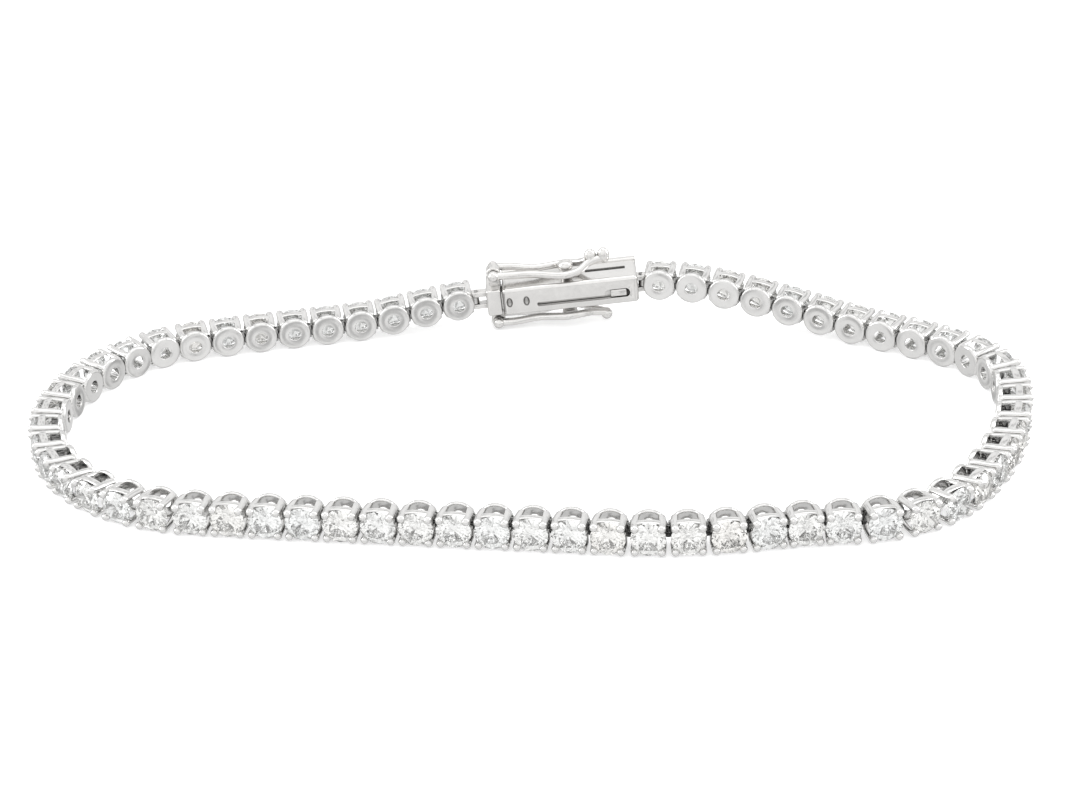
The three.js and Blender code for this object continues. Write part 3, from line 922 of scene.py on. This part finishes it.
def clasp_painted_shade(mesh):
    """How much painted shade each face of the box gets: some in the slit and the dimples, none elsewhere."""
    last_mark = HALLMARKS["first"] + HALLMARKS["spacing"] + HALLMARKS["width"]
    near, skin = 0.01 * MM, 0.03 * MM  # a cut's faces reach this far outside it, and start this deep
    painted_shade = []
    for face in mesh.polygons:
        x, y, z = face.center
        in_slit = (
            SLIT["left"] - near < x < SLIT["right"] + near
            and SLIT["inner"] - near < y < SLIT["outer"] + near
            and skin < BOX["half"] - z < SLIT["depth"] + near
        )
        in_mark = (
            x < last_mark and abs(z) < HALLMARKS["height"] / 2
            and skin < y - BOX["inner"] < HALLMARKS["depth"]
        )
        painted_shade.append(PAINTED_SHADE["cut"] if in_slit or in_mark else 0.0)
    return painted_shade


def clasp_tongue_mesh():
    """The end plate with its fork, the folded tongue with the window's tab, and the two knuckles."""
    def build(bm):
        left, right, inner, outer, half = (PLATE[k] for k in ("left", "right", "inner", "outer", "half"))
        soft_block(bm, (left, inner, -half), (right, outer, half), PLATE["edge"], steps=4)
        middle, gap, leaf, tip, leaf_half = (TONGUE[k] for k in ("middle", "gap", "leaf", "right", "half"))
        start = right - PLATE["sunk"]
        for side in SIDES:
            near, far = sorted((middle + side * gap / 2, middle + side * (gap / 2 + leaf)))
            soft_block(bm, (start, near, -leaf_half), (tip - leaf, far, leaf_half), TONGUE["edge"])
        fold = [(tip - leaf, middle - gap / 2 - leaf), (tip, middle + gap / 2 + leaf)]
        soft_block(bm, (*fold[0], -leaf_half), (*fold[1], leaf_half), TONGUE["fold_edge"])
        soft_block(
            bm, (TAB["left"], TAB["face"], TAB["bottom"]),
            (TAB["right"], middle - gap / 2 - leaf / 2, TAB["top"]), TAB["edge"],
        )
        x, bore, wide, foot = (KNUCKLE[k] for k in ("x", "bore", "half", "foot_half"))
        for side, lift in ((1, UPPER_CATCH[0]["lift"]), (-1, LOWER_CATCH[0]["lift"])):
            place = Matrix.Translation((x, CATCH_MIDDLE, side * lift))
            barrel(bm, place, KNUCKLE["radius"], -wide, wide, bore, KNUCKLE["edge"], segments=36)
            low, high = sorted((side * KNUCKLE["foot"], side * (lift - bore - KNUCKLE["edge"])))
            soft_block(
                bm, (x - foot, CATCH_MIDDLE - wide, low), (x + foot, CATCH_MIDDLE + wide, high),
                KNUCKLE["foot_edge"],
            )
        fork(bm, 0.0, left + PLATE["sunk"])
    return mesh_of("clasp_tongue", build)


def catch_mesh(rows, knobs, side, sizes):
    """A figure-8 of wire: a bar in its knuckle, two strands that meet at the waist, and knobs at the tip."""
    def build(bm):
        start = rows[0]
        for across in SIDES:
            points = [(r["x"], CATCH_MIDDLE + across * r["half"], side * r["lift"]) for r in rows]
            path = smooth_path(points, steps=8)
            tube(bm, path, [(sizes.wire_radius,) * 2] * len(path), sides=16)
            head = (start["x"], CATCH_MIDDLE + across * (start["half"] + HEAD_REACH), side * start["lift"])
            ball(bm, head, [sizes.head_radius] * 3, rings=14, segments=24)
        bar = [(start["x"], CATCH_MIDDLE + y, side * start["lift"]) for y in (-start["half"], start["half"])]
        tube(bm, bar, [(sizes.bar_radius,) * 2] * 2, sides=20)
        for knob in knobs:
            ball(bm, (knob["x"], CATCH_MIDDLE, side * knob["lift"]), knob["radii"], rings=14, segments=24)
    return mesh_of("catch", build)


def pin_mesh(name, x):
    half = PIN["half"]
    return mesh_of(name, lambda bm: barrel(bm, upright(x), PIN["radius"], -half, half, edge=PIN["edge"]))


def add_clasp_piece(context, name, mesh, node, body="bracelet", flats=False):
    """Adds a piece of the clasp that was made in the clasp's own frame."""
    place, _ = clasp_frame()
    mesh.transform(place)
    material = clasp_gold(context.scene.bracelet.finishes)
    add_piece(name, mesh, material, body, node, flats)


class BRACELET_OT_clasp_box(Operator):
    """Make the clasp's box with its slots, cover plate and pegs"""

    bl_idname = "bracelet.clasp_box"
    bl_label = "Clasp box"

    def execute(self, context):
        _, span = clasp_frame()
        mesh = clasp_box_mesh(span)
        # Painted shade in the slit and the dimples.
        paint_faces(mesh, "painted_shade", clasp_painted_shade(mesh))
        add_clasp_piece(context, "clasp_case", mesh, "clasp_box", flats=True)
        return {"FINISHED"}


class BRACELET_OT_clasp_tongue(Operator):
    """Make the clasp's folded tongue, its end plate and the catches' knuckles"""

    bl_idname = "bracelet.clasp_tongue"
    bl_label = "Clasp tongue"

    def execute(self, context):
        add_clasp_piece(context, "clasp_spring_tongue", clasp_tongue_mesh(), "clasp_tongue", flats=True)
        return {"FINISHED"}


class BRACELET_OT_hinge_pins(Operator):
    """Make the two pins that hold the strand to the clasp"""

    bl_idname = "bracelet.hinge_pins"
    bl_label = "Hinge pins"

    def execute(self, context):
        _, span = clasp_frame()
        for name, node, x in (
            ("tongue_end_pin", "tongue_hinge_pin", 0.0), ("box_end_pin", "box_hinge_pin", span),
        ):
            add_clasp_piece(context, name, pin_mesh(name, x), node)
        return {"FINISHED"}


class BRACELET_OT_safety_catches(Operator):
    """Make the two wire safety catches"""

    bl_idname = "bracelet.safety_catches"
    bl_label = "Safety catches"

    def execute(self, context):
        for word, rows, knobs, side in (
            ("upper", UPPER_CATCH, UPPER_KNOBS, 1), ("lower", LOWER_CATCH, LOWER_KNOBS, -1),
        ):
            mesh = catch_mesh(rows, knobs, side, context.scene.bracelet.clasp)
            add_clasp_piece(context, f"{word}_wire_catch", mesh, f"{word}_safety_catch", f"{word}_catch")
        return {"FINISHED"}


# ---- the stage ----

AIM = Vector((0.73 * MM, -1.01 * MM, 2.26 * MM))
FLOOR_SIZE = 3.0
STONE_BOUNCES = 24  # light turns round many times in a stone before it comes out
SOFTBOXES = (
    {"name": "overhead", "place": (0.0, 0.06, 0.34), "size": (0.34, 0.26), "power": 0.18},
    {"name": "left_strip", "place": (-0.34, 0.02, 0.16), "size": (0.1, 0.36), "power": 0.4},
    {"name": "right_strip", "place": (0.34, 0.02, 0.16), "size": (0.1, 0.36), "power": 0.4},
)
FLOOR_CLOUDS = 0.985  # how pale the floor still is in its darker clouds

# The room's light is a product: each row turns a direction's height or depth, or a noise, into a share.
ROOM_LIGHT = (
    {"by": "Z", "from": (-0.25, 0.45), "to": (0.9, 1.15)},
    {"by": "Y", "from": (-0.9, 0.2), "to": (1.15, 0.95)},
    {"by": "noise", "from": (0.36, 0.46), "to": (0.55, 1.0)},
)


def add_floor(stage):
    mesh = bpy.data.meshes.new("floor")
    bm = bmesh.new()
    bmesh.ops.create_grid(bm, x_segments=8, y_segments=8, size=FLOOR_SIZE / 2)
    bm.to_mesh(mesh)
    bm.free()
    floor = new_object("floor", mesh)
    material, tree, shader = new_material("pale_floor")
    place = add_node(tree, "ShaderNodeTexCoord").outputs["Object"]
    cloud = add_node(tree, "ShaderNodeTexNoise", {"Vector": place, "Scale": 12.0, "Detail": 2.0})
    tint = mixed(tree, cloud.outputs["Fac"], shaded(stage.floor), shaded(stage.floor, FLOOR_CLOUDS))
    for name in ("Base Color", "Emission Color"):
        tree.links.new(tint, shader.inputs[name])
    shader.inputs["Emission Strength"].default_value = stage.glow
    shader.inputs["Roughness"].default_value = 0.6
    mesh.materials.append(material)
    floor.visible_glossy = floor.visible_transmission = False


def add_room(stage):
    """Soft light from all round: brightest overhead and behind, dimmer low down, with a few dark patches."""
    world = bpy.data.worlds.new("studio")
    world.use_nodes = True
    bpy.context.scene.world = world
    tree = world.node_tree
    tree.nodes.clear()
    way = add_node(tree, "ShaderNodeTexCoord").outputs["Generated"]
    parts = add_node(tree, "ShaderNodeSeparateXYZ", {"Vector": way}).outputs
    cloud = add_node(tree, "ShaderNodeTexNoise", {"Vector": way, "Scale": 5.0, "Detail": 1.0})
    sources = {"Z": parts["Z"], "Y": parts["Y"], "noise": cloud.outputs["Fac"]}
    strength = add_node(tree, "ShaderNodeValue").outputs[0]
    strength.default_value = stage.room
    for row in ROOM_LIGHT:
        (near, far), (low, high) = row["from"], row["to"]
        share_here = add_node(
            tree, "ShaderNodeMapRange",
            {"Value": sources[row["by"]], "From Min": near, "From Max": far, "To Min": low, "To Max": high},
            interpolation_type="SMOOTHSTEP",
        )
        strength = add_node(
            tree, "ShaderNodeMath", {0: strength, 1: share_here.outputs["Result"]}, operation="MULTIPLY"
        ).outputs[0]
    light = add_node(tree, "ShaderNodeBackground", {"Color": (1, 1, 1, 1), "Strength": strength})
    add_node(tree, "ShaderNodeOutputWorld", {"Surface": light.outputs["Background"]})


def aimed(place, target, roll=0.0):
    """The matrix of a lamp or camera at a place that looks at a target and leans right by a roll."""
    back = (place - target).normalized()
    side = Vector((0, 0, 1)).cross(back)
    right = side.normalized() if side.length > 0 else Vector((1, 0, 0))
    turn = Matrix((right, back.cross(right), back)).transposed().to_4x4()
    return Matrix.Translation(place) @ turn @ Matrix.Rotation(-roll, 4, "Z")


def add_softboxes(stage):
    for row in SOFTBOXES:
        lamp = bpy.data.lights.new(row["name"], "AREA")
        lamp.shape = "RECTANGLE"
        lamp.size, lamp.size_y = row["size"]
        lamp.energy = row["power"] * stage.lamps
        holder = new_object(row["name"], lamp)
        holder.matrix_world = aimed(Vector(row["place"]), AIM)


def add_camera(stage):
    camera = bpy.data.cameras.new("camera")
    camera.lens = stage.lens
    camera.clip_start = 0.01
    holder = new_object("camera", camera)
    away = Vector((0, -math.cos(stage.elevation), math.sin(stage.elevation)))
    holder.matrix_world = aimed(AIM + away * stage.distance, AIM, stage.roll)
    bpy.context.scene.camera = holder


class BRACELET_OT_stage(Operator):
    """Make the floor, the light and the camera"""

    bl_idname = "bracelet.stage"
    bl_label = "Stage"

    def execute(self, context):
        stage = context.scene.bracelet.stage
        add_floor(stage)
        add_room(stage)
        add_softboxes(stage)
        add_camera(stage)
        context.scene.view_settings.view_transform = "Standard"
        paths = context.scene.cycles
        paths.max_bounces = paths.glossy_bounces = paths.transmission_bounces = STONE_BOUNCES
        return {"FINISHED"}


# ---- the add-on ----

OPERATORS = (
    BRACELET_OT_stage,
    BRACELET_OT_settings,
    BRACELET_OT_stones,
    BRACELET_OT_clasp_box,
    BRACELET_OT_clasp_tongue,
    BRACELET_OT_hinge_pins,
    BRACELET_OT_safety_catches,
)


class BRACELET_PT_parts(Panel):
    """Lists the parts of the bracelet and their sizes"""

    bl_label = "Tennis bracelet"
    bl_space_type = "VIEW_3D"
    bl_region_type = "UI"
    bl_category = "Bracelet"

    def draw(self, context):
        column = self.layout.column()
        for operator in OPERATORS:
            column.operator(operator.bl_idname)
        bracelet = context.scene.bracelet
        for group in (bracelet.settings, bracelet.stones, bracelet.clasp, bracelet.finishes, bracelet.stage):
            column.separator()
            for name in group.__annotations__:
                column.prop(group, name)


CLASSES = (
    BraceletSettingSizes,
    BraceletStoneSizes,
    BraceletClaspSizes,
    BraceletFinishes,
    BraceletStageSettings,
    BraceletProperties,
    *OPERATORS,
    BRACELET_PT_parts,
)


def register():
    for each in CLASSES:
        bpy.utils.register_class(each)
    bpy.types.Scene.bracelet = PointerProperty(type=BraceletProperties)


def unregister():
    del bpy.types.Scene.bracelet
    for each in reversed(CLASSES):
        bpy.utils.unregister_class(each)


def main():
    register()
    bpy.ops.bracelet.stage()
    bpy.ops.bracelet.settings()
    bpy.ops.bracelet.stones()
    bpy.ops.bracelet.clasp_box()
    bpy.ops.bracelet.clasp_tongue()
    bpy.ops.bracelet.hinge_pins()
    bpy.ops.bracelet.safety_catches()


if __name__ == "__main__":
    main()
